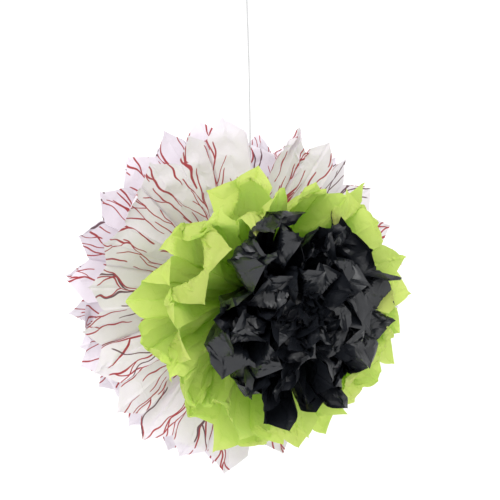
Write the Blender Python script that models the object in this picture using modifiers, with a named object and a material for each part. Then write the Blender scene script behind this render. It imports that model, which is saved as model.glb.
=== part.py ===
# A hanging tissue paper pom pom, made like an eyeball: a black middle, a green ring and a white back.
# Sheets of tissue are folded together into a narrow pleated bundle, a wire is tied round the middle of
# it, the ends are cut to points, and each sheet is then opened into two half fans and pulled up.
# The middle of the black cap faces -Y, the string goes up along +Z, and the origin is at the top of
# the string's loop, where the pom pom hangs. Metres and radians.

import math

import bmesh
import bpy
from mathutils import Vector

# The paper
PANELS = 12  # folded panels across each sheet
PANEL_WIDTH = 0.042
LEFT_REACH = 0.180  # from the tie to a petal's tip, on the -X side
RIGHT_REACH = 0.168  # the tie sits a little off the middle of the paper
TIP_DEPTH = PANEL_WIDTH / 2  # each panel's end is cut to a right-angled point
PAPER = 0.0006  # many times the thickness of tissue, so that each sheet is a solid
DEEPEST_PLEAT = 0.026  # the crumples of the inner sheets take up the rest of their width

# The bundle where the sheets are tied
HUB = Vector((0.004, 0.0, -0.338))  # the tie's centre, below the loop that the pom pom hangs from
SHEET_PITCH = 0.001  # from one sheet to the next, along Y
WAIST_HALF_HEIGHT = 0.005
WAIST_BEND = 0.005  # radius of the bend from one fan to the other
SEAM_HALF_GAP = 0.0018  # the string passes between the two fans
SEAM_ANGLE = math.radians(3)  # from the seam's plane to the first fold
PLEATS_START = 0.008
PLEATS_FULL = 0.050
PLEAT_GAUGE = 0.150  # the reach at which a panel's full width is kept

# The tie and the string
TIE_RADIUS = 0.0115
WIRE_RADIUS = 0.0006
STRING_RADIUS = 0.00075
CLEARANCE = 0.0003
KNOT_RADIUS = 0.0022
LOOP_HEIGHT = 0.026
LOOP_WIDTH = 0.009
STRING_STEP = 0.004

# Each sheet, front to back: name, colour, the angle from the front that it is opened to, and how much
# further it is opened on the -X side than straight up. All in degrees.
SHEETS = (
    ("black_sheet_1", "black", 9, 0),
    ("black_sheet_2", "black", 18, -1),
    ("black_sheet_3", "black", 27, -2),
    ("black_sheet_4", "black", 36, -3),
    ("green_sheet_1", "green", 46.5, 2.5),
    ("green_sheet_2", "green", 57, 3),
    ("white_sheet_1", "white", 84, 0),
    ("white_sheet_2", "white", 97, 0),
    ("white_sheet_3", "white", 109, 0),
    ("white_sheet_4", "white", 121, 0),
    ("white_sheet_5", "white", 133, 0),
    ("white_sheet_6", "white", 145, 0),
    ("white_sheet_7", "white", 158, 0),
    ("white_sheet_8", "white", 170, 0),
)

# Colour, roughness and metallic value of each material
FINISHES = {
    "black": ((0.012, 0.012, 0.015, 1), 0.45, 0),
    "green": ((0.38, 0.68, 0.05, 1), 0.7, 0),
    "white": ((0.82, 0.81, 0.82, 1), 0.7, 0),
    "wire": ((0.45, 0.45, 0.45, 1), 0.4, 1),
    "string": ((0.9, 0.9, 0.88, 1), 0.8, 0),
}


def clear_scene():
    for obj in list(bpy.data.objects):
        bpy.data.objects.remove(obj, do_unlink=True)


def make_materials():
    made = {}
    for name, (colour, roughness, metallic) in FINISHES.items():
        material = bpy.data.materials.new(name)
        material.use_nodes = True
        shader = material.node_tree.nodes["Principled BSDF"]
        shader.inputs["Base Color"].default_value = colour
        shader.inputs["Roughness"].default_value = roughness
        shader.inputs["Metallic"].default_value = metallic
        material.diffuse_color = colour
        made[name] = material
    return made


def add_object(name, data, material, collection):
    data.materials.append(material)
    obj = bpy.data.objects.new(name, data)
    collection.objects.link(obj)
    return obj


def reach(side, across):
    """From the tie to the cut edge, at across panels from the top of the sheet."""
    longest = LEFT_REACH if side < 0 else RIGHT_REACH
    from_middle = abs(2 * (across % 1) - 1)
    return longest - TIP_DEPTH * from_middle


def fan_angle(across):
    """The direction of a line from the tie, from nearly straight up to nearly straight down."""
    half_turn = math.pi / 2 - SEAM_ANGLE
    return half_turn * (1 - 2 * across / PANELS)


def pleat_swing(polar):
    """How far a fold swings either way from the sheet's own cone, as an angle."""
    arc = PLEAT_GAUGE * math.sin(polar) * (math.pi - 2 * SEAM_ANGLE) / PANELS
    depth = math.sqrt(max(PANEL_WIDTH**2 - arc**2, 0))
    return min(depth, DEEPEST_PLEAT) / 2 / PLEAT_GAUGE


def fold_side(across):
    """1 on the folds towards the front, -1 on those towards the back, and between them in a panel."""
    return 4 * abs(across / 2 % 1 - 0.5) - 1


def on_sheet(index, side, along, across):
    """Where a point of the flat sheet goes: side is -1 or 1, along is its distance from the tie."""
    polar, lean = (math.radians(value) for value in SHEETS[index][2:])
    fan = fan_angle(across)
    polar -= side * lean * math.cos(fan)
    if along > PLEATS_START:
        polar -= fold_side(across) * pleat_swing(polar)
    out = math.hypot(along, WAIST_BEND) - WAIST_BEND
    seam = SEAM_HALF_GAP * math.tanh(along / WAIST_BEND)
    x = side * (along * math.sin(polar) * math.cos(fan) + seam)
    y = SHEET_PITCH * (index - (len(SHEETS) - 1) / 2) - out * math.cos(polar)
    z = WAIST_HALF_HEIGHT * (1 - 2 * across / PANELS) + out * math.sin(polar) * math.sin(fan)
    return HUB + Vector((x, y, z))


def make_sheet(index, materials, collection):
    """A flat grid, two cells to a panel, folded into two fans and given its thickness."""
    name, colour = SHEETS[index][:2]
    rows = (0, PLEATS_START, PLEATS_FULL, None)
    cells_each_side = len(rows) - 1
    work = bmesh.new()
    bmesh.ops.create_grid(
        work, x_segments=2 * cells_each_side, y_segments=2 * PANELS, size=1
    )
    for vertex in work.verts:
        side = -1 if vertex.co.x < 0 else 1
        across = round(PANELS * (1 - vertex.co.y)) / 2
        row = rows[round(abs(vertex.co.x) * cells_each_side)]
        along = reach(side, across) if row is None else row
        vertex.co = on_sheet(index, side, along, across)
    data = bpy.data.meshes.new(name)
    work.to_mesh(data)
    work.free()
    sheet = add_object(name, data, materials[colour], collection)
    wall = sheet.modifiers.new("paper", "SOLIDIFY")
    wall.thickness = PAPER
    wall.offset = 0
    return sheet


def make_tube(name, points, radius, cyclic, material, collection, resolution=2):
    curve = bpy.data.curves.new(name, "CURVE")
    curve.dimensions = "3D"
    curve.bevel_depth = radius
    curve.bevel_resolution = resolution
    curve.use_fill_caps = not cyclic
    spline = curve.splines.new("POLY")
    spline.points.add(len(points) - 1)
    for point, place in zip(spline.points, points):
        point.co = (*place, 1)
    spline.use_cyclic_u = cyclic
    return add_object(name, curve, material, collection)


def make_tie(materials, collection):
    """The wire round the bundle, in the plane between the two fans."""
    count = 24
    ring = []
    for step in range(count):
        turn = math.tau * step / count
        ring.append(HUB + TIE_RADIUS * Vector((0, math.cos(turn), math.sin(turn))))
    make_tube("waist_tie", ring, WIRE_RADIUS, True, materials["wire"], collection)


def smooth_route(points, step):
    """Points about a step apart on a Catmull-Rom curve through the route's own points."""
    ends = [points[0] * 2 - points[1], *points, points[-1] * 2 - points[-2]]
    found = [points[0]]
    for a, b, c, d in zip(ends, ends[1:], ends[2:], ends[3:]):
        count = max(1, round((c - b).length / step))
        for index in range(1, count + 1):
            t = index / count
            found.append(
                0.5
                * (
                    2 * b
                    + (c - a) * t
                    + (2 * a - 5 * b + 4 * c - d) * t**2
                    + (3 * b - a - 3 * c + d) * t**3
                )
            )
    return found


def string_route():
    """The string's own points, up from the tie, through the seam and on to the knot under the loop."""
    start = HUB.z + TIE_RADIUS + WIRE_RADIUS + CLEARANCE + STRING_RADIUS
    end = -LOOP_HEIGHT - 2 * KNOT_RADIUS - CLEARANCE
    return [
        Vector((0.0040, 0.0000, start)),
        Vector((0.0040, 0.0000, -0.2900)),
        Vector((0.0040, 0.0000, -0.2500)),
        Vector((0.0041, 0.0000, -0.2100)),
        Vector((0.0041, 0.0001, -0.1750)),
        Vector((0.0038, 0.0004, -0.1450)),
        Vector((0.0032, 0.0006, -0.1150)),
        Vector((0.0022, 0.0005, -0.0850)),
        Vector((0.0010, 0.0002, -0.0560)),
        Vector((0.0000, 0.0000, end)),
    ]


def make_string(materials, collection):
    route = smooth_route(string_route(), STRING_STEP)
    make_tube(
        "hanging_string", route, STRING_RADIUS, False, materials["string"], collection
    )


def make_loop(materials, collection):
    """The string's end, turned back on itself above the knot, and the knot."""
    count = 26
    foot = -LOOP_HEIGHT - CLEARANCE / 2
    height = -STRING_RADIUS - (foot + STRING_RADIUS + CLEARANCE)
    loop = []
    for step in range(count):
        turn = math.tau * step / count
        rise = (1 - math.cos(turn)) / 2
        width = LOOP_WIDTH / 2 * math.sin(turn) * (0.55 + 0.45 * rise)
        loop.append(Vector((width, 0, -STRING_RADIUS - height * (1 - rise))))
    make_tube(
        "hanging_loop", loop, STRING_RADIUS, True, materials["string"], collection
    )
    work = bmesh.new()
    bmesh.ops.create_uvsphere(work, u_segments=12, v_segments=8, radius=KNOT_RADIUS)
    bmesh.ops.translate(work, verts=work.verts, vec=(0, 0, foot - KNOT_RADIUS))
    data = bpy.data.meshes.new("loop_knot")
    work.to_mesh(data)
    work.free()
    data.shade_smooth()
    add_object("loop_knot", data, materials["string"], collection)


def main():
    clear_scene()
    collection = bpy.data.collections.new("tissue_paper_pom_pom")
    bpy.context.scene.collection.children.link(collection)
    materials = make_materials()
    for index in range(len(SHEETS)):
        make_sheet(index, materials, collection)
    make_tie(materials, collection)
    make_string(materials, collection)
    make_loop(materials, collection)


main()
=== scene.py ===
import math

import bpy
import numpy as np
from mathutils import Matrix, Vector


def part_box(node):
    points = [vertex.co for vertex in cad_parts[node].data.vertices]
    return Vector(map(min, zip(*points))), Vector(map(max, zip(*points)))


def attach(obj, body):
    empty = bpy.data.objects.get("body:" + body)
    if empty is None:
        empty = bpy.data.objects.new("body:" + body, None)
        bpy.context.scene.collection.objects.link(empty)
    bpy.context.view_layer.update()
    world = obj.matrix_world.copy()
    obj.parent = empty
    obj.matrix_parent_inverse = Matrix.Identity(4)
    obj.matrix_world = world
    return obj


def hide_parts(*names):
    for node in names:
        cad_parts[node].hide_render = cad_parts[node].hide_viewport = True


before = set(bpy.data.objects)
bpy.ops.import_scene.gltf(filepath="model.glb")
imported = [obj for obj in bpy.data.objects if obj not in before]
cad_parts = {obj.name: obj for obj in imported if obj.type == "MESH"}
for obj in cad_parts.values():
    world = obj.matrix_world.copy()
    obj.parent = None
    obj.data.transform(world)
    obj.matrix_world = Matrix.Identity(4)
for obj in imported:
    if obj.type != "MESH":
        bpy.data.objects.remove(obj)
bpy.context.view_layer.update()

tieLow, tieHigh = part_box("waist_tie")
hub = (Vector(tieLow) + Vector(tieHigh)) / 2  # the middle of the pom pom, where its sheets are tied

sheetNames = {
    "black": [f"black_sheet_{n}" for n in range(1, 5)],
    "green": [f"green_sheet_{n}" for n in range(1, 3)],
    "white": [f"white_sheet_{n}" for n in range(1, 9)],
}
sheetOrder = [name for names in sheetNames.values() for name in names]  # front to back


# Camera and stage

view = {
    "azimuth": -21,  # degrees, from straight in front of the black cap
    "elevation": 8,
    "distance": 1.6,
    "widthSeen": 0.5,  # across the picture, at the middle of the pom pom
    "aimAbove": 0.042,  # the picture's middle is this far above the middle of the pom pom
}


def makeCamera():
    turn, rise = math.radians(view["azimuth"]), math.radians(view["elevation"])
    back = Vector((math.sin(turn) * math.cos(rise), -math.cos(turn) * math.cos(rise), math.sin(rise)))
    facing = back.to_track_quat("Z", "Y")
    up = facing @ Vector((0, 1, 0))
    data = bpy.data.cameras.new("camera")
    data.sensor_width = 36
    data.lens = data.sensor_width * view["distance"] / view["widthSeen"]
    camera = bpy.data.objects.new("camera", data)
    camera.location = hub + up * view["aimAbove"] + back * view["distance"]
    camera.rotation_euler = facing.to_euler()
    bpy.context.scene.collection.objects.link(camera)
    bpy.context.scene.camera = camera


makeCamera()

stage = {
    "floorBelow": 0.55,  # from the middle of the pom pom down to the floor
    "floorSize": 60,
    "roomLight": 1.11,
    "sunPower": 1.05,
    "sunSoftness": 35,  # degrees across
    "sunFrom": (-0.75, -1.0, 1.25),
}


def makeStage():
    bpy.ops.mesh.primitive_plane_add(size=stage["floorSize"], location=(0, 0, hub.z - stage["floorBelow"]))
    floor = bpy.context.object
    floor.name = "floor"
    paint = bpy.data.materials.new("pale_floor")
    paint.use_nodes = True
    paint.node_tree.nodes["Principled BSDF"].inputs["Base Color"].default_value = (0.93, 0.93, 0.93, 1)
    paint.node_tree.nodes["Principled BSDF"].inputs["Roughness"].default_value = 0.9
    floor.data.materials.append(paint)

    sun = bpy.data.lights.new("window_light", "SUN")
    sun.energy = stage["sunPower"]
    sun.angle = math.radians(stage["sunSoftness"])
    lamp = bpy.data.objects.new("window_light", sun)
    lamp.rotation_euler = Vector(stage["sunFrom"]).to_track_quat("Z", "Y").to_euler()
    bpy.context.scene.collection.objects.link(lamp)

    room = bpy.data.worlds.new("room")
    room.use_nodes = True
    room.node_tree.nodes["Background"].inputs["Color"].default_value = (1, 1, 1, 1)
    room.node_tree.nodes["Background"].inputs["Strength"].default_value = stage["roomLight"]
    bpy.context.scene.world = room
    bpy.context.scene.view_settings.view_transform = "Standard"


makeStage()
print("camera and stage ready")


# Node maths: a socket that can be used in Python expressions

class Sock:
    def __init__(self, tree, socket):
        self.tree = tree
        self.socket = socket

    def node(self, kind, settings=None, **values):
        made = self.tree.nodes.new(kind)
        for name, value in (settings or {}).items():
            setattr(made, name, value)
        for name, value in values.items():
            index = int(name[1:]) if name[1:].isdigit() else name.replace("_", " ")
            plug = made.inputs[index]
            if isinstance(value, Sock):
                self.tree.links.new(value.socket, plug)
            else:
                plug.default_value = value
        return made

    def out(self, made, name=0):
        return Sock(self.tree, made.outputs[name])

    def math(self, operation, *values):
        names = {f"i{index}": value for index, value in enumerate(values)}
        return self.out(self.node("ShaderNodeMath", {"operation": operation}, **names))

    def __add__(self, other):
        return self.math("ADD", self, other)

    def __radd__(self, other):
        return self.math("ADD", other, self)

    def __sub__(self, other):
        return self.math("SUBTRACT", self, other)

    def __rsub__(self, other):
        return self.math("SUBTRACT", other, self)

    def __mul__(self, other):
        return self.math("MULTIPLY", self, other)

    def __rmul__(self, other):
        return self.math("MULTIPLY", other, self)

    def __truediv__(self, other):
        return self.math("DIVIDE", self, other)

    def __rtruediv__(self, other):
        return self.math("DIVIDE", other, self)

    def __pow__(self, other):
        return self.math("POWER", self, other)

    def __abs__(self):
        return self.math("ABSOLUTE", self)

    def __mod__(self, other):
        return self.math("FLOORED_MODULO", self, other)

    def over(self, other):  # 1 where it is more than other
        return self.math("GREATER_THAN", self, other)

    def most(self, other):
        return self.math("MAXIMUM", self, other)

    def smooth(self, low, high):  # a soft step from 0 at low to 1 at high
        settings = {"interpolation_type": "SMOOTHSTEP"}
        made = self.node("ShaderNodeMapRange", settings, i0=self, i1=low, i2=high)
        return self.out(made)


def vector(x, y, z=0.0):
    made = x.node("ShaderNodeCombineXYZ", i0=x, i1=y, i2=z)
    return x.out(made)


# How each sheet is folded: geometry nodes

fold = {
    "panels": 12,  # folded panels across a sheet
    "panelWidth": 0.042,
    "leftReach": 0.180,  # from the tie to a petal's tip, on the -X side
    "rightReach": 0.168,
    "tipDepth": 0.021,
    "pitch": 0.001,  # from one sheet to the next at the tie
    "waistHalfHeight": 0.005,
    "waistBend": 0.005,
    "seamHalfGap": 0.0018,
    "seamAngle": math.radians(3),
    "gauge": 0.150,  # the reach at which the folds hold a panel's full width
    "cellsPerPanel": 14,
    "cellsPerFan": 56,
}

# The angle from the front that each sheet is opened to, and how much further on the -X side, in degrees.
openings = {
    "black": ((9, 0), (18, -1), (27, -2), (36, -3)),
    "green": ((46.5, 2.5), (57, 3)),
    "white": ((84, 0), (97, 0), (109, 0), (121, 0), (133, 0), (145, 0), (158, 0), (170, 0)),
}

foldInputs = (
    "Panels", "Panel Width", "Left Reach", "Right Reach", "Tip Depth", "Waist Half Height",
    "Waist Bend", "Seam Half Gap", "Seam Angle", "Gauge", "Opening", "Lean", "Hub Shift",
)


def makeFoldTree():
    tree = bpy.data.node_groups.new("folded_sheet", "GeometryNodeTree")
    tree.interface.new_socket("Geometry", in_out="OUTPUT", socket_type="NodeSocketGeometry")
    for name in foldInputs:
        tree.interface.new_socket(name, in_out="INPUT", socket_type="NodeSocketFloat")
    for name in ("Cells Along", "Cells Across"):
        tree.interface.new_socket(name, in_out="INPUT", socket_type="NodeSocketInt")
    tree.interface.new_socket("Paper", in_out="INPUT", socket_type="NodeSocketMaterial")
    given = tree.nodes.new("NodeGroupInput")
    put = {socket.name: Sock(tree, socket) for socket in given.outputs if socket.name}
    do = put["Panels"]

    grid = do.node(
        "GeometryNodeMeshGrid", Size_X=2.0, Size_Y=1.0,
        Vertices_X=put["Cells Along"] + 1, Vertices_Y=put["Cells Across"] + 1,
    )
    place = do.out(do.node("GeometryNodeInputPosition"))
    split = do.node("ShaderNodeSeparateXYZ", i0=place)
    gridX, gridY = do.out(split, "X"), do.out(split, "Y")

    across = (0.5 - gridY) * put["Panels"]
    side = gridX.math("SIGN", gridX)
    isRight = gridX.over(0.0)
    longest = put["Left Reach"] + (put["Right Reach"] - put["Left Reach"]) * isRight
    fromMiddle = abs((across % 1.0) * 2.0 - 1.0)
    along = abs(gridX) * (longest - put["Tip Depth"] * fromMiddle)

    halfTurn = math.pi / 2 - put["Seam Angle"]
    fan = halfTurn * (1.0 - across * 2.0 / put["Panels"])
    cosFan, sinFan = fan.math("COSINE", fan), fan.math("SINE", fan)
    polar = put["Opening"] - side * put["Lean"] * cosFan
    arc = put["Gauge"] * polar.math("SINE", polar) * halfTurn * 2.0 / put["Panels"]
    depthSquared = (put["Panel Width"] * put["Panel Width"] - arc * arc).most(0.0)
    swing = depthSquared.math("SQRT", depthSquared) / put["Gauge"] * 0.5
    zigzag = abs((across * 0.5) % 1.0 - 0.5) * 4.0 - 1.0
    started = along.smooth(0.0, 0.06)
    turned = polar - zigzag * swing * started

    bend = put["Waist Bend"]
    squared = along * along + bend * bend
    out = squared.math("SQRT", squared) - bend
    ratio = along / bend
    seam = put["Seam Half Gap"] * ratio.math("TANH", ratio)
    sine, cosine = turned.math("SINE", turned), turned.math("COSINE", turned)
    x = side * (along * sine * cosFan + seam)
    y = put["Hub Shift"] - out * cosine
    z = put["Waist Half Height"] * (1.0 - across * 2.0 / put["Panels"]) + out * sine * sinFan

    flat = vector(across / put["Panels"], 0.5 + side * along / put["Left Reach"] * 0.5)
    stored = do.node(
        "GeometryNodeStoreNamedAttribute", {"data_type": "FLOAT2", "domain": "CORNER"},
        Geometry=do.out(grid, "Mesh"), Name="OFBake", Value=flat,
    )
    moved = do.node("GeometryNodeSetPosition", Geometry=do.out(stored), Position=vector(x, y, z))
    real = do.node("GeometryNodeRealizeInstances", Geometry=do.out(moved))
    dressed = do.node("GeometryNodeSetMaterial", Geometry=do.out(real), Material=put["Paper"])
    result = tree.nodes.new("NodeGroupOutput")
    tree.links.new(dressed.outputs[0], result.inputs["Geometry"])
    return tree


def plainMesh(name, tree, values):  # runs a tree and keeps the mesh that it makes
    start = bpy.data.meshes.new(name + "_start")
    maker = bpy.data.objects.new(name + "_maker", start)
    bpy.context.scene.collection.objects.link(maker)
    made = maker.modifiers.new("maker", "NODES")
    made.node_group = tree
    for socket in tree.interface.items_tree:
        if socket.in_out == "INPUT" and socket.name in values:
            made[socket.identifier] = values[socket.name]
    bpy.context.view_layer.update()
    graph = bpy.context.evaluated_depsgraph_get()
    mesh = bpy.data.meshes.new_from_object(maker.evaluated_get(graph), depsgraph=graph)
    mesh.name = name
    bpy.data.objects.remove(maker, do_unlink=True)
    bpy.data.meshes.remove(start)
    return mesh


def addPiece(name, mesh, material=None):
    if material:
        mesh.materials.clear()
        mesh.materials.append(material)
    piece = bpy.data.objects.new(name, mesh)
    bpy.context.scene.collection.objects.link(piece)
    return piece


# Materials

def newPaint(name):
    paint = bpy.data.materials.new(name)
    paint.use_nodes = True
    tree = paint.node_tree
    return paint, Sock(tree, None), tree.nodes["Principled BSDF"], tree.nodes["Material Output"]


def link(sock, plug):
    sock.tree.links.new(sock.socket, plug)


tissueLooks = {
    "black": {
        "colour": (0.010, 0.012, 0.016, 1), "deep": (0.006, 0.007, 0.010, 1),
        "roughness": 0.34, "specular": 0.55, "shine": 0.0, "crinkle": 0.3, "patchy": 0.06,
    },
    "green": {
        "colour": (0.75, 0.81, 0.24, 1), "deep": (0.67, 0.76, 0.17, 1),
        "through": (0.52, 0.79, 0.16, 1), "roughness": 0.6, "specular": 0.25, "shine": 0.42, "crinkle": 0.4,
        "patchy": 0.2,
    },
    "white": {
        "colour": (0.84, 0.785, 0.85, 1), "deep": (0.79, 0.735, 0.795, 1),
        "through": (0.70, 0.69, 0.72, 1), "roughness": 0.65, "specular": 0.2, "shine": 0.10, "crinkle": 0.3,
        "patchy": 0.2,
    },
}


tissueGrain = {  # how fine each mark is, and how deep the creases look
    "cloud": 60.0, "fibre": 900.0, "dents": 55.0, "ridges": 130.0, "creases": 45.0, "depth": 0.004,
}


def flatPlace(do):  # where a point was on the flat sheet, in metres: across the panels, and out from the tie
    uv = do.out(do.node("ShaderNodeUVMap", {"uv_map": "OFBake"}))
    split = do.node("ShaderNodeSeparateXYZ", i0=uv)
    across = do.out(split, "X") * (fold["panels"] * fold["panelWidth"])
    along = (do.out(split, "Y") - 0.5) * (2 * fold["leftReach"])
    return across, along


def noise(do, place, scale, detail=2.0, roughness=0.5):
    made = do.node("ShaderNodeTexNoise", {"noise_dimensions": "3D"}, Vector=place, Scale=scale, Detail=detail,
                   Roughness=roughness)
    return do.out(made, "Fac" if "Fac" in made.outputs else 0)


veins = {
    "red": (0.36, 0.004, 0.009, 1),
    # dark grey-red: painted shade, a shaded copy of the red print, which a random share of the veins is drawn
    # in
    "paintedShadeRed": (0.11, 0.03, 0.045, 1),
    "layers": (  # column width, length of a vein, half width of its line, and where its columns start
        (0.031, 0.078, 0.00098, 0.0),
        (0.037, 0.064, 0.00086, 0.014),
        (0.047, 0.070, 0.00074, 0.027),
    ),
    "wander": 0.010,
    "waver": 0.0036,
}


def veinMask(do, across, along, seed, columnWidth, veinLength, halfWidth, start):
    place = vector(across, along, seed)
    wide = noise(do, place, 24.0, 0.0) - 0.5
    fine = noise(do, place, 65.0, 0.0) - 0.5
    across = across + wide * (2.0 * veins["wander"]) + fine * (2.0 * veins["waver"])
    out = abs(along)
    column = (across + start) / columnWidth
    columnIndex = column.math("FLOOR", column)
    half = along.over(0.0)
    chance = do.out(do.node("ShaderNodeTexWhiteNoise", {"noise_dimensions": "3D"},
                            Vector=vector(columnIndex, half, seed + 3.7)))
    row = out / veinLength + chance
    rowIndex = row.math("FLOOR", row)
    draw = do.node("ShaderNodeTexWhiteNoise", {"noise_dimensions": "3D"},
                   Vector=vector(columnIndex, rowIndex * 2.0 + half, seed))
    colours = do.node("ShaderNodeSeparateColor", i0=do.out(draw, "Color"))
    one, two, three = (do.out(colours, index) for index in range(3))
    x = (column - columnIndex - 0.5) * columnWidth
    y = row - rowIndex
    lean = (one - 0.5) * (0.45 * columnWidth)
    trunk = x - lean * (y - 0.5)
    forkAt = 0.30 + two * 0.35
    opened = (y - forkAt).most(0.0)
    spread = opened ** 0.8 * (columnWidth * (0.55 + 0.30 * three))
    toLeft = trunk.over(0.0)
    reachShare = 0.35 + 0.65 * (toLeft * one + (1.0 - toLeft) * (1.0 - one))
    distance = abs(abs(trunk) - spread * reachShare)
    thickness = halfWidth * (0.6 + 1.6 * y * (1.0 - y)) * (0.85 + 0.3 * three)
    line = 1.0 - (distance / thickness).smooth(0.75, 1.2)
    inside = y.smooth(0.03, 0.06) * (1.0 - y.smooth(0.90, 0.93))
    there = 1.0 - two.over(0.93)
    # picks at random the veins that are drawn in the dark painted-shade copy of the red
    paintedShadeVein = three.over(0.80)
    return line * inside * there, paintedShadeVein


def makeTissue(kind, seed):
    look = tissueLooks[kind]
    paint, do, shader, output = newPaint(f"{kind}_tissue_{seed}")
    across, along = flatPlace(do)
    place = vector(across, along, float(seed))

    cloud = noise(do, place, tissueGrain["cloud"], 4.0, 0.65)
    fibre = noise(do, place, tissueGrain["fibre"], 2.0, 0.6)
    mottle = (cloud * 0.75 + fibre * 0.25).smooth(0.25, 0.75)
    colour = do.node("ShaderNodeMix", {"data_type": "RGBA"}, i0=mottle, i6=look["deep"], i7=look["colour"])
    colour = do.out(colour, 2)
    if kind == "white":
        for layer in veins["layers"]:
            mask, paintedShadeVein = veinMask(do, across, along, float(seed), *layer)
            # mixes the red print with its dark painted-shade copy for the veins picked above
            red = do.node("ShaderNodeMix", {"data_type": "RGBA"}, i0=paintedShadeVein, i6=veins["red"], i7=veins["paintedShadeRed"])
            colour = do.out(do.node("ShaderNodeMix", {"data_type": "RGBA"}, i0=mask, i6=colour,
                                    i7=do.out(red, 2)), 2)
    link(colour, shader.inputs["Base Color"])
    rough = look["roughness"] + (cloud - 0.5) * look["patchy"]
    link(rough, shader.inputs["Roughness"])
    shader.inputs["Specular IOR Level"].default_value = look["specular"]

    # soft dents, and the fine creases of tissue that has been handled
    dents = noise(do, place, tissueGrain["dents"], 2.0, 0.5)
    ridges = noise(do, place, tissueGrain["ridges"], 2.0, 0.55)
    ridges = 1.0 - abs(ridges - 0.5) * 6.0
    creases = noise(do, vector(across, along, seed + 7.5), tissueGrain["creases"], 1.0, 0.4)
    creases = (1.0 - abs(creases - 0.5) * 22.0).most(0.0)
    height = dents * 0.3 + ridges.most(0.0) * 0.08 + creases * 0.16 + fibre * 0.05
    bump = do.node("ShaderNodeBump", Strength=look["crinkle"], Distance=tissueGrain["depth"], Height=height)
    link(do.out(bump), shader.inputs["Normal"])

    if look["shine"]:
        through = do.node("ShaderNodeBsdfTranslucent", Color=look["through"])
        link(do.out(bump), through.inputs["Normal"])
        mixed = do.node("ShaderNodeMixShader", i0=look["shine"])
        paint.node_tree.links.new(shader.outputs[0], mixed.inputs[1])
        paint.node_tree.links.new(through.outputs[0], mixed.inputs[2])
        paint.node_tree.links.new(mixed.outputs[0], output.inputs["Surface"])
    return paint


# Opening the sheets by hand: the folded sheets are loosened, creased and settled towards their flat lengths

opening = {
    "seed": 4,
    "coarse": 2,  # every second line of the folded sheet is settled first
    "coarseTurns": 220,
    "fineTurns": 24,
    "pinned": 0.014,  # held still within this reach of the tie
    "hold": 0.010,  # how strongly a sheet is drawn back to where it was opened to
    "stiffness": 0.30,
    "rolled": {
        "sheet": 6, "side": 1, "panel": 11, "length": 0.060, "radius": 0.003, "lean": (0.1, -0.1, 0.15),
    },
    "leastGap": 0.0015,
    "gapPerReach": 0.03,
    "seamSway": 0.008,  # how far a sheet's tips lean across the seam, on both fans alike
    "seamBand": 0.03,  # how far from the seam its lean is felt
    "seamClosed": 0.6,  # how much of the opening beside the seam is drawn together
    "backClosed": 5.0,  # degrees by which the last sheet is closed towards the back
    "closedSheets": 3,  # how many sheets that closing fades over, at the front and at the back
    "sharedHand": 0.6,  # how much of a fold's turn all the sheets share
    "sharpFrom": 22,  # degrees of bend from which a crease is drawn sharp
}

# How the hand moves each colour's paper. Turns are in degrees. A crease's facets are given by size and depth.
# A folded tip is given by the share that are folded, how far, and the fold's distance from the tip.
handling = {
    "black": {
        "foldTurn": 4.0, "foldFan": 5.0, "curl": 12.0, "droop": 0.006, "rightBack": 0.0, "inward": 7.0,
        "overSeam": 0.25, "gathered": 0.4, "smoothed": 1.0,
        "creases": ((0.040, 0.0100), (0.021, 0.0020)),
        "folded": (0.65, (40, 110), (0.018, 0.042)),
    },
    "green": {
        "foldTurn": 4.5, "foldFan": 4.0, "curl": 14.0, "droop": 0.006, "rightBack": 4.0, "inward": 0.0,
        "overSeam": 0.10, "gathered": 0.45, "smoothed": 1.0,
        "creases": ((0.038, 0.0110), (0.020, 0.0048)),
        "folded": (0.8, (30, 110), (0.016, 0.038)),
    },
    "white": {
        "foldTurn": 3.2, "foldFan": 2.5, "curl": 9.0, "droop": 0.002, "rightBack": 10.0, "inward": 0.0,
        "overSeam": 0.0, "gathered": 0.55, "smoothed": 1.045,
        "creases": ((0.065, 0.0036), (0.030, 0.0009)),
        "folded": (0.28, (20, 110), (0.012, 0.028)),
    },
}


def meshPoints(mesh):
    flat = np.empty(len(mesh.vertices) * 3, np.float32)
    mesh.vertices.foreach_get("co", flat)
    return flat.reshape(-1, 3).astype(float)


def facets(flat, chance, size):  # heights from -1 to 1 on flat triangles about that size
    x, y = flat[..., 0] / size, flat[..., 1] / size
    for _ in range(3):  # bends the rows of triangles
        turn, phase = chance.uniform(0, 2 * math.pi, 2)
        wave = np.sin((x * math.cos(turn) + y * math.sin(turn)) * chance.uniform(0.9, 1.7) + phase)
        push = chance.uniform(0, 2 * math.pi)
        x, y = x + 0.28 * wave * math.cos(push), y + 0.28 * wave * math.sin(push)
    turn = chance.uniform(0, math.pi)
    x, y = x * math.cos(turn) - y * math.sin(turn), x * math.sin(turn) + y * math.cos(turn)
    x, y = x - x.min() + 0.5, y - y.min() + 0.5
    i, j = x.astype(int), y.astype(int)
    u, v = x - i, y - j
    height = chance.uniform(-1, 1, (i.max() + 2, j.max() + 2))
    split = chance.random((i.max() + 2, j.max() + 2))[i, j] < 0.5
    a, b, c, d = height[i, j], height[i + 1, j], height[i, j + 1], height[i + 1, j + 1]
    oneWay = np.where(u > v, a + u * (b - a) + v * (d - b), a + v * (c - a) + u * (d - c))
    other = np.where(u + v < 1, a + u * (b - a) + v * (c - a), d + (1 - u) * (c - d) + (1 - v) * (b - d))
    return np.where(split, oneWay, other)


def across1d(chance, count, size):  # a chance value at each fold, even between folds
    folds = chance.normal(0, 1, fold["panels"] + 1) * size
    at = np.linspace(0, fold["panels"], count)
    return np.interp(at, np.arange(fold["panels"] + 1), folds)


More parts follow.
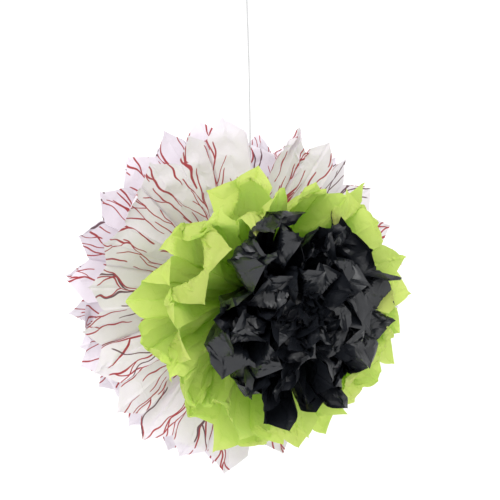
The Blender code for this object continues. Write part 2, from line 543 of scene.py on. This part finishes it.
def turnPoints(points, kind, chance, share, back, inward):
    # Each fold line is turned a little, up or down and to the side, and its tip is curled.
    given = handling[kind]
    rows, columns = points.shape[:2]
    middle = columns // 2
    moved = points.copy()
    reach = np.abs(np.linspace(-1, 1, columns))
    for half in (slice(0, middle + 1), slice(middle, columns)):
        local = points[:, half] - np.array(hub)
        size = np.linalg.norm(local, axis=-1)
        level = np.hypot(local[..., 0], local[..., 2])
        polar = np.arctan2(level, -local[..., 1])
        fan = np.arctan2(local[..., 2], np.abs(local[..., 0]))
        out = reach[half][None, :]
        grow = np.clip(out * 3 - 0.2, 0, 1)
        turn = across1d(chance, rows, 1.0) * (1 - share) + sharedTurn(rows, half, 0) * share
        swing = across1d(chance, rows, 1.0) * (1 - share) + sharedTurn(rows, half, 1) * share
        curl = across1d(chance, rows, 1.0)
        tilt = np.sin(np.linspace(0, fold["panels"] * math.pi, rows)) * across1d(chance, rows, 0.6)
        polar = polar + np.radians(given["foldTurn"]) * turn[:, None] * grow
        if half.start:
            polar = polar + np.radians(given["rightBack"]) * back * np.cos(fan) * grow
        polar = polar + np.radians(given["curl"]) * (curl + tilt)[:, None] * out**3 * 0.5
        polar = polar - np.radians(inward) * grow
        edge = np.cos(fan) ** 0.5  # the seam's edges stay where they are
        fan = fan + np.radians(given["foldFan"]) * swing[:, None] * grow * edge
        fan = np.clip(fan, -math.pi / 2, math.pi / 2)
        sign = -1.0 if half.start == 0 else 1.0
        level = size * np.sin(polar)
        low = given["droop"] * out**3
        fresh = np.stack([sign * level * np.cos(fan), -size * np.cos(polar), level * np.sin(fan) - low], -1)
        moved[:, half] = fresh + np.array(hub)
    keep = np.clip(reach * 8 - 0.5, 0, 1)[None, :, None]
    return points * (1 - keep) + moved * keep


def foldTips(points, flat, kind, chance):
    share, turns, depths = handling[kind]["folded"]
    columns = points.shape[1]
    cells = fold["cellsPerPanel"]
    reach = np.abs(flat[..., 1])
    for side in (slice(0, columns // 2), slice(columns // 2 + 1, columns)):
        for panel in range(fold["panels"]):
            if chance.random() > share:
                continue
            rows = slice(panel * cells, (panel + 1) * cells + 1)
            block, out = points[rows, side], reach[rows, side]
            x = flat[rows, side, 0] - flat[rows, side, 0].mean()
            turn = math.radians(chance.uniform(*turns)) * chance.choice((-1, 1))
            line = out.max() - chance.uniform(*depths) + chance.uniform(-0.7, 0.7) * x
            ends = []
            for row in (1, cells - 1):
                column = np.argmin(np.abs(out[row] - line[row]))
                ends.append(block[row, column])
            axis = (ends[1] - ends[0]) / np.linalg.norm(ends[1] - ends[0])
            past = np.clip((out - line) / 0.004, 0, 1)
            past[0] *= 0.5
            past[-1] *= 0.5
            angle = (turn * past)[..., None]
            arm = block - ends[0]
            along = (arm @ axis)[..., None] * axis
            turned = along + (arm - along) * np.cos(angle) + np.cross(axis, arm) * np.sin(angle)
            points[rows, side] = np.where(past[..., None] > 0, turned + ends[0], block)
    return points


def rollTip(points, flat, side, panel):  # rolls one petal's tip into a narrow curl that leans aside
    given = opening["rolled"]
    cells = fold["cellsPerPanel"]
    columns = points.shape[1]
    order = slice(columns // 2 + 1, columns) if side > 0 else slice(columns // 2 - 1, None, -1)
    rows = slice(panel * cells, (panel + 1) * cells + 1)
    block, out = points[rows, order], np.abs(flat[rows, order, 1])
    x = flat[rows, order, 0] - flat[rows, order, 0].mean()
    centre = block[cells // 2]
    ahead = np.gradient(centre, axis=0)
    ahead /= np.linalg.norm(ahead, axis=-1, keepdims=True)
    aside = block[-1] - block[0]
    aside -= (aside * ahead).sum(-1, keepdims=True) * ahead
    aside /= np.linalg.norm(aside, axis=-1, keepdims=True)
    normal = np.cross(ahead, aside)
    share = np.clip((out - (out.max() - given["length"])) / (0.6 * given["length"]), 0, 1) ** 1.5
    radius = given["radius"] + (1 - share) ** 2 * 0.2
    rounded = (radius * np.sin(x / radius))[..., None] * aside
    rounded = rounded + (radius * (1 - np.cos(x / radius)))[..., None] * normal
    lean = np.array(given["lean"]) * (share * share)[..., None] * given["length"]
    rolled = centre[None] + rounded + lean
    weight = np.clip(share * 4, 0, 1)[..., None]
    points[rows, order] = block * (1 - weight) + rolled * weight


def sharedTurn(rows, half, which):
    side = 0 if half.start == 0 else 1
    at = np.linspace(0, fold["panels"], rows)
    return np.interp(at, np.arange(fold["panels"] + 1), handShared[side][which])


def faceNormals(points):
    along = np.gradient(points, axis=1)
    across = np.gradient(points, axis=0)
    normal = np.cross(along, across)
    return normal / np.maximum(np.linalg.norm(normal, axis=-1, keepdims=True), 1e-9)


def pull(points, first, second, rest, strength, free):
    # Moves each pair of points towards its distance on the flat sheet.
    a, b = points[first], points[second]
    apart = b - a
    size = np.sqrt((apart * apart).sum(-1, keepdims=True)) + 1e-9
    wa, wb = free[first], free[second]
    total = np.maximum(wa + wb, 1e-6)
    step = apart * (strength * (size - rest) / (size * total))
    points[first] = a + step * wa
    points[second] = b - step * wb


def pairs(rows, columns, stepRow, stepColumn):
    # The pairs of points that are a step apart, in sets whose pairs share no point.
    sets = []
    if stepRow:
        for start in range(2):
            for inner in range(abs(stepRow)):
                firstRow = np.arange(start * stepRow + inner, rows - stepRow, 2 * stepRow)
                sets.append((firstRow, None))
    else:
        for start in range(2):
            for inner in range(stepColumn):
                firstColumn = np.arange(start * stepColumn + inner, columns - stepColumn, 2 * stepColumn)
                sets.append((None, firstColumn))
    found = []
    for firstRow, firstColumn in sets:
        if firstRow is not None:
            if stepColumn >= 0:
                a = (slice(None), firstRow, slice(0, columns - stepColumn))
                b = (slice(None), firstRow + stepRow, slice(stepColumn, columns))
            else:
                a = (slice(None), firstRow, slice(-stepColumn, columns))
                b = (slice(None), firstRow + stepRow, slice(0, columns + stepColumn))
        else:
            a = (slice(None), slice(None), firstColumn)
            b = (slice(None), slice(None), firstColumn + stepColumn)
        found.append((a, b))
    return found


def settle(points, flat, folded, target, free, turns):
    rows, columns = points.shape[1:3]
    middle = columns // 2
    kinds = [name.split("_")[0] for name in sheetOrder]
    gathered = np.array([handling[kind]["gathered"] for kind in kinds])[:, None, None, None]
    work = []
    for stepRow, stepColumn, strength in (
        (0, 1, 1.0), (1, 0, 1.0), (1, 1, 0.7), (1, -1, 0.7), (2, 0, opening["stiffness"]),
        (0, 2, opening["stiffness"]),
    ):
        for a, b in pairs(rows, columns, stepRow, stepColumn):
            rest = np.linalg.norm(flat[b[1:]] - flat[a[1:]], axis=-1)[None, ..., None]
            if stepRow:  # near the tie the paper is gathered more than its folds show
                narrow = np.linalg.norm(folded[b] - folded[a], axis=-1)[..., None]
                rest = rest + (np.minimum(narrow, rest) - rest) * gathered
            if 2 in (stepRow, stepColumn):  # a crease keeps the bend that it was given
                between = (a[0], (a[1] + b[1]) // 2, a[2]) if stepRow else (a[0], a[1], (a[2] + b[2]) // 2)
                first = np.linalg.norm(target[between] - target[a], axis=-1)
                second = np.linalg.norm(target[b] - target[between], axis=-1)
                straight = np.linalg.norm(target[b] - target[a], axis=-1)
                rest = rest * (straight / np.maximum(first + second, 1e-9))[..., None]
            work.append((a, b, rest, strength))
    reach = np.abs(flat[..., 1])
    for turn in range(turns):
        for a, b, rest, strength in work:
            pull(points, a, b, rest, strength, free)
        points += (target - points) * (opening["hold"] * free)
        if turn % 4 == 3:
            keepApart(points, reach, free, middle)
    return points


def keepApart(points, reach, free, middle):
    # Matching points of neighbouring sheets are pushed apart, by a gap that grows away from the tie.
    # Nothing else is tested, so crumpled paper still crosses itself and the sheets beside it.
    gap = opening["leastGap"] + opening["gapPerReach"] * reach
    local = (points[1:] + points[:-1]) / 2 - np.array(hub)
    size = np.linalg.norm(local, axis=-1, keepdims=True) + 1e-9
    outward = local / size
    back = np.array((0.0, 1.0, 0.0)) - outward * outward[..., 1:2]
    back /= np.linalg.norm(back, axis=-1, keepdims=True) + 1e-6
    apart = ((points[1:] - points[:-1]) * back).sum(-1)
    short = np.maximum(gap[None] - apart, 0)[..., None] * back * 0.5
    points[1:] += short * free[1:]
    points[:-1] -= short * free[:-1]
    # Each fan is held on its own side of the seam, but for the loose ends of black and green petals.
    over = np.array([handling[name.split("_")[0]]["overSeam"] for name in sheetOrder])[:, None, None]
    slot = fold["seamHalfGap"] * 0.8 - over * np.maximum(reach - 0.09, 0)
    seam = hub.x + seamPath(reach)
    right, left = points[:, :, middle + 5:, 0], points[:, :, :middle - 4, 0]
    np.maximum(right, (seam + slot)[..., middle + 5:], out=right)
    np.minimum(left, (seam - slot)[..., :middle - 4], out=left)


def seamPath(reach):  # where the seam runs on each sheet, sideways from the middle
    row = np.linspace(0, 1, reach.shape[0])[None, :, None]
    ends = seamLean[:, 0, None, None] * (1 - row) + seamLean[:, 1, None, None] * row
    return ends * np.clip(reach / 0.12 - 0.3, 0, 1)


def finer(coarse, step):  # the values of a coarse grid at every line of the fine one
    for axis in (1, 2):
        count = coarse.shape[axis]
        at = np.arange((count - 1) * step + 1) / step
        low = np.minimum(at.astype(int), count - 2)
        part = at - low
        shape = [1] * coarse.ndim
        shape[axis] = len(at)
        part = part.reshape(shape)
        coarse = np.take(coarse, low, axis) * (1 - part) + np.take(coarse, low + 1, axis) * part
    return coarse


chanceAll = np.random.default_rng(opening["seed"])
handShared = chanceAll.normal(0, 1, (2, 2, fold["panels"] + 1))
seamLean = np.array([[-1, 1], [1, -1]] * (len(sheetOrder) // 2)) * opening["seamSway"]


def makeSheets():
    tree = makeFoldTree()
    meshes, points = [], []
    rows = fold["panels"] * fold["cellsPerPanel"] + 1
    columns = 2 * fold["cellsPerFan"] + 1
    index = 0
    for kind, names in sheetNames.items():
        for name, (polar, lean) in zip(names, openings[kind]):
            values = {
                "Panels": float(fold["panels"]), "Panel Width": fold["panelWidth"],
                "Left Reach": fold["leftReach"], "Right Reach": fold["rightReach"],
                "Tip Depth": fold["tipDepth"], "Waist Half Height": fold["waistHalfHeight"],
                "Waist Bend": fold["waistBend"], "Seam Half Gap": fold["seamHalfGap"],
                "Seam Angle": fold["seamAngle"], "Gauge": fold["gauge"],
                "Opening": math.radians(polar), "Lean": math.radians(lean),
                "Hub Shift": fold["pitch"] * (index - (len(sheetOrder) - 1) / 2),
                "Cells Along": columns - 1, "Cells Across": rows - 1,
                "Paper": makeTissue(kind, index),
            }
            mesh = plainMesh(name, tree, values)
            meshes.append(mesh)
            points.append(meshPoints(mesh).reshape(columns, rows, 3).transpose(1, 0, 2) + np.array(hub))
            index += 1
    points = np.array(points)
    print("sheets folded:", points.shape)

    at = np.linspace(0, fold["panels"], rows)
    side = np.linspace(-1, 1, columns)
    longest = np.where(side < 0, fold["leftReach"], fold["rightReach"])
    fromMiddle = np.abs(2 * (at % 1) - 1)
    along = side[None, :] * (longest[None, :] - fold["tipDepth"] * fromMiddle[:, None])
    flat = np.stack([np.broadcast_to((at * fold["panelWidth"])[:, None], along.shape), along], -1)

    folded = points.copy()
    firstWhite = sheetOrder.index(sheetNames["white"][0])
    fade = opening["closedSheets"]
    across = points[..., 0] - hub.x
    beside = np.exp(-((across / opening["seamBand"]) ** 2))
    points[..., 0] += seamPath(np.abs(flat[..., 1])) * beside - opening["seamClosed"] * across * beside**2
    index = 0
    for kind, names in sheetNames.items():
        for _ in names:
            chance = np.random.default_rng(opening["seed"] * 100 + index)
            back = 1 - (index - firstWhite) / len(names) if kind == "white" else 1
            inward = handling[kind]["inward"] * max(0, 1 - index / fade)
            inward -= opening["backClosed"] * max(0, (index - (len(sheetOrder) - 1 - fade)) / fade)
            points[index] = turnPoints(points[index], kind, chance, opening["sharedHand"], back, inward)
            creases = sum(facets(flat, chance, size) * depth for size, depth in handling[kind]["creases"])
            grow = np.clip(np.abs(flat[..., 1]) / 0.09 - 0.35, 0, 1)
            points[index] += faceNormals(points[index]) * (creases * grow)[..., None]
            foldTips(points[index], flat, kind, chance)
            if index == opening["rolled"]["sheet"]:
                rollTip(points[index], flat, opening["rolled"]["side"], opening["rolled"]["panel"])
            index += 1
    print("sheets opened")

    step = opening["coarse"]
    coarse = points[:, ::step, ::step].copy()
    coarseFlat = flat[::step, ::step]
    target = coarse.copy()
    free = np.clip((np.abs(coarseFlat[..., 1]) - opening["pinned"]) / 0.01, 0, 1)[None, ..., None]
    free = np.broadcast_to(free, coarse.shape[:3] + (1,)).copy()
    before = coarse.copy()
    settle(coarse, coarseFlat, folded[:, ::step, ::step], target, free, opening["coarseTurns"])
    points += finer(coarse - before, step)
    free = np.clip((np.abs(flat[..., 1]) - opening["pinned"]) / 0.01, 0, 1)[None, ..., None]
    free = np.broadcast_to(free, points.shape[:3] + (1,)).copy()
    settle(points, flat, folded, points.copy(), free, opening["fineTurns"])
    cells = fold["cellsPerPanel"]
    middle = cells // 2
    for name, sheet, start in zip(sheetOrder, points, folded):  # smoothed out to the reach that it was cut to
        tips = np.array([sheet[middle::cells, 0], sheet[middle::cells, -1]]) - np.array(hub)
        cut = np.array([start[middle::cells, 0], start[middle::cells, -1]]) - np.array(hub)
        share = np.linalg.norm(cut, axis=-1).mean() / np.linalg.norm(tips, axis=-1).mean()
        sheet += (sheet - np.array(hub)) * (min(share, handling[name.split("_")[0]]["smoothed"]) - 1)
    print("sheets settled")

    for index, (name, mesh) in enumerate(zip(sheetOrder, meshes)):
        ordered = points[index].transpose(1, 0, 2).reshape(-1)
        mesh.vertices.foreach_set("co", ordered.astype(np.float32))
        mesh.update()
        mesh.shade_smooth()
        mesh.set_sharp_from_angle(angle=math.radians(opening["sharpFrom"]))
        piece = addPiece(name + "_paper", mesh)
        kind = name.split("_")[0]
        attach(piece, "root")
        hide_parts(name)


makeSheets()


# String, loop, knot and tie: twisted strands

cord = {
    "diameter": 0.0015,
    "loopHeight": 0.026,
    "loopWidth": 0.009,
    "knotRadius": 0.0022,
    "clearance": 0.0003,
    "strands": 4,
    "turnLength": 0.0055,
    "step": 0.0006,
}

tie = {
    "radius": 0.0115,
    "wire": 0.0003,
    "strands": 2,
    "turnLength": 0.0030,
}


def stringRoute():
    start = tieHigh[2] + cord["clearance"] + cord["diameter"] / 2
    end = -cord["loopHeight"] - 2 * cord["knotRadius"] - cord["clearance"]
    return [
        Vector((0.0040, 0.0000, start)),
        Vector((0.0040, 0.0000, -0.2900)),
        Vector((0.0040, 0.0000, -0.2500)),
        Vector((0.0041, 0.0000, -0.2100)),
        Vector((0.0041, 0.0001, -0.1750)),
        Vector((0.0038, 0.0004, -0.1450)),
        Vector((0.0032, 0.0006, -0.1150)),
        Vector((0.0022, 0.0005, -0.0850)),
        Vector((0.0010, 0.0002, -0.0560)),
        Vector((0.0000, 0.0000, end)),
    ]


def smoothRoute(points, step):  # points about a step apart on a smooth curve through the route's own
    ends = [points[0] * 2 - points[1], *points, points[-1] * 2 - points[-2]]
    found = [points[0]]
    for a, b, c, d in zip(ends, ends[1:], ends[2:], ends[3:]):
        count = max(1, round((c - b).length / step))
        for index in range(1, count + 1):
            t = index / count
            curve = 2 * b + (c - a) * t + (2 * a - 5 * b + 4 * c - d) * t**2
            found.append(0.5 * (curve + (3 * b - a - 3 * c + d) * t**3))
    return found


def sideways(route, closed):  # two directions at right angles to the route at each of its points
    ahead = np.roll(route, -1, 0) - np.roll(route, 1, 0) if closed else np.gradient(route, axis=0)
    ahead /= np.linalg.norm(ahead, axis=1, keepdims=True)
    first = np.cross(ahead, (0.0, 1.0, 0.0))
    weak = np.linalg.norm(first, axis=1) < 0.2
    first[weak] = np.cross(ahead[weak], (1.0, 0.0, 0.0))
    first /= np.linalg.norm(first, axis=1, keepdims=True)
    return first, np.cross(ahead, first)


def tubeFaces(route, radius, sides, closed):
    first, second = sideways(route, closed)
    turn = np.arange(sides) * 2 * math.pi / sides
    ring = np.cos(turn)[None, :, None] * first[:, None] + np.sin(turn)[None, :, None] * second[:, None]
    points = (route[:, None] + ring * radius).reshape(-1, 3)
    count = len(route)
    faces = []
    for row in range(count if closed else count - 1):
        for side in range(sides):
            after, beside = (row + 1) % count, (side + 1) % sides
            corners = (row * sides + side, row * sides + beside, after * sides + beside, after * sides + side)
            faces.append(corners)
    if not closed:
        faces.append(tuple(range(sides))[::-1])
        faces.append(tuple(range((count - 1) * sides, count * sides)))
    return points, faces


def twisted(name, route, radius, strands, turnLength, paint, closed=False, sides=6):
    route = np.array([tuple(point) for point in route])
    first, second = sideways(route, closed)
    nexts = np.roll(route, -1, 0) if closed else route[1:]
    steps = np.linalg.norm(nexts - (route if closed else route[:-1]), axis=1)
    run = np.concatenate([[0], np.cumsum(steps)])
    whole = run[-1]
    turns = max(1, round(whole / turnLength))
    run = run[:len(route)] / whole
    strandRadius = radius / (1 + 1 / math.sin(math.pi / strands)) * 1.08
    offset = radius - strandRadius
    points, faces = [], []
    for strand in range(strands):
        turn = 2 * math.pi * (turns * run + strand / strands)
        line = route + offset * (np.cos(turn)[:, None] * first + np.sin(turn)[:, None] * second)
        fresh, rings = tubeFaces(line, strandRadius, sides, closed)
        faces += [tuple(corner + len(points) for corner in face) for face in rings]
        points += list(map(tuple, fresh))
    mesh = bpy.data.meshes.new(name)
    mesh.from_pydata(points, [], faces)
    mesh.shade_smooth()
    return addPiece(name, mesh, paint)


def makeCottonPaint():
    paint, do, shader, _ = newPaint("cotton_string")
    place = do.out(do.node("ShaderNodeTexCoord"), "Object")
    fuzz = noise(do, place, 1500.0, 3.0, 0.6)
    dim, pale = (0.46, 0.46, 0.47, 1), (0.70, 0.70, 0.71, 1)
    colour = do.node("ShaderNodeMix", {"data_type": "RGBA"}, i0=fuzz, i6=dim, i7=pale)
    link(do.out(colour, 2), shader.inputs["Base Color"])
    shader.inputs["Roughness"].default_value = 0.85
    bump = do.node("ShaderNodeBump", Strength=0.4, Distance=0.0004, Height=fuzz)
    link(do.out(bump), shader.inputs["Normal"])
    return paint


def makeWirePaint():
    paint, do, shader, _ = newPaint("paper_covered_wire")
    place = do.out(do.node("ShaderNodeTexCoord"), "Object")
    worn = noise(do, place, 700.0, 3.0, 0.6)
    dim, pale = (0.62, 0.62, 0.62, 1), (0.80, 0.80, 0.79, 1)
    colour = do.node("ShaderNodeMix", {"data_type": "RGBA"}, i0=worn, i6=dim, i7=pale)
    link(do.out(colour, 2), shader.inputs["Base Color"])
    link(0.35 + worn * 0.3, shader.inputs["Roughness"])
    return paint


def makeCord():
    paint = makeCottonPaint()
    route = smoothRoute(stringRoute(), cord["step"])
    radius = cord["diameter"] / 2
    string = twisted("string", route, radius, cord["strands"], cord["turnLength"], paint)
    length = sum((b - a).length for a, b in zip(route, route[1:]))

    foot = -cord["loopHeight"] - cord["clearance"] / 2
    height = -radius - (foot + radius + cord["clearance"])
    around = []
    for step in range(96):
        turn = 2 * math.pi * step / 96
        rise = (1 - math.cos(turn)) / 2
        width = cord["loopWidth"] / 2 * math.sin(turn) * (0.55 + 0.45 * rise)
        around.append((width, 0, -radius - height * (1 - rise)))
    loop = twisted("loop", around, radius, cord["strands"], cord["turnLength"], paint, closed=True)

    knotted = []
    size = cord["knotRadius"] * 0.42
    for step in range(120):  # a plain knot, pulled tight
        turn = 2 * math.pi * step / 120
        outward = 1.0 + 0.42 * math.cos(3 * turn)
        x, y = math.cos(2 * turn) * outward * size, math.sin(2 * turn) * outward * size
        z = foot - cord["knotRadius"] + 0.95 * size * math.sin(3 * turn)
        knotted.append((x * 1.1, y * 0.9, z))
    knot = twisted("knot", knotted, radius * 0.95, cord["strands"], cord["turnLength"], paint, closed=True)

    for piece, node in ((string, "hanging_string"), (loop, "hanging_loop"), (knot, "loop_knot")):
        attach(piece, "root")
        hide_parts(node)


def makeTie():
    ring = []
    for step in range(160):
        turn = 2 * math.pi * step / 160
        ring.append(tuple(hub + tie["radius"] * Vector((0, math.cos(turn), math.sin(turn)))))
    radius = 2 * tie["wire"]
    wire = twisted("tie_wire", ring, radius, tie["strands"], tie["turnLength"], makeWirePaint(), closed=True)
    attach(wire, "root")
    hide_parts("waist_tie")


makeCord()
makeTie()
print("string and tie made")
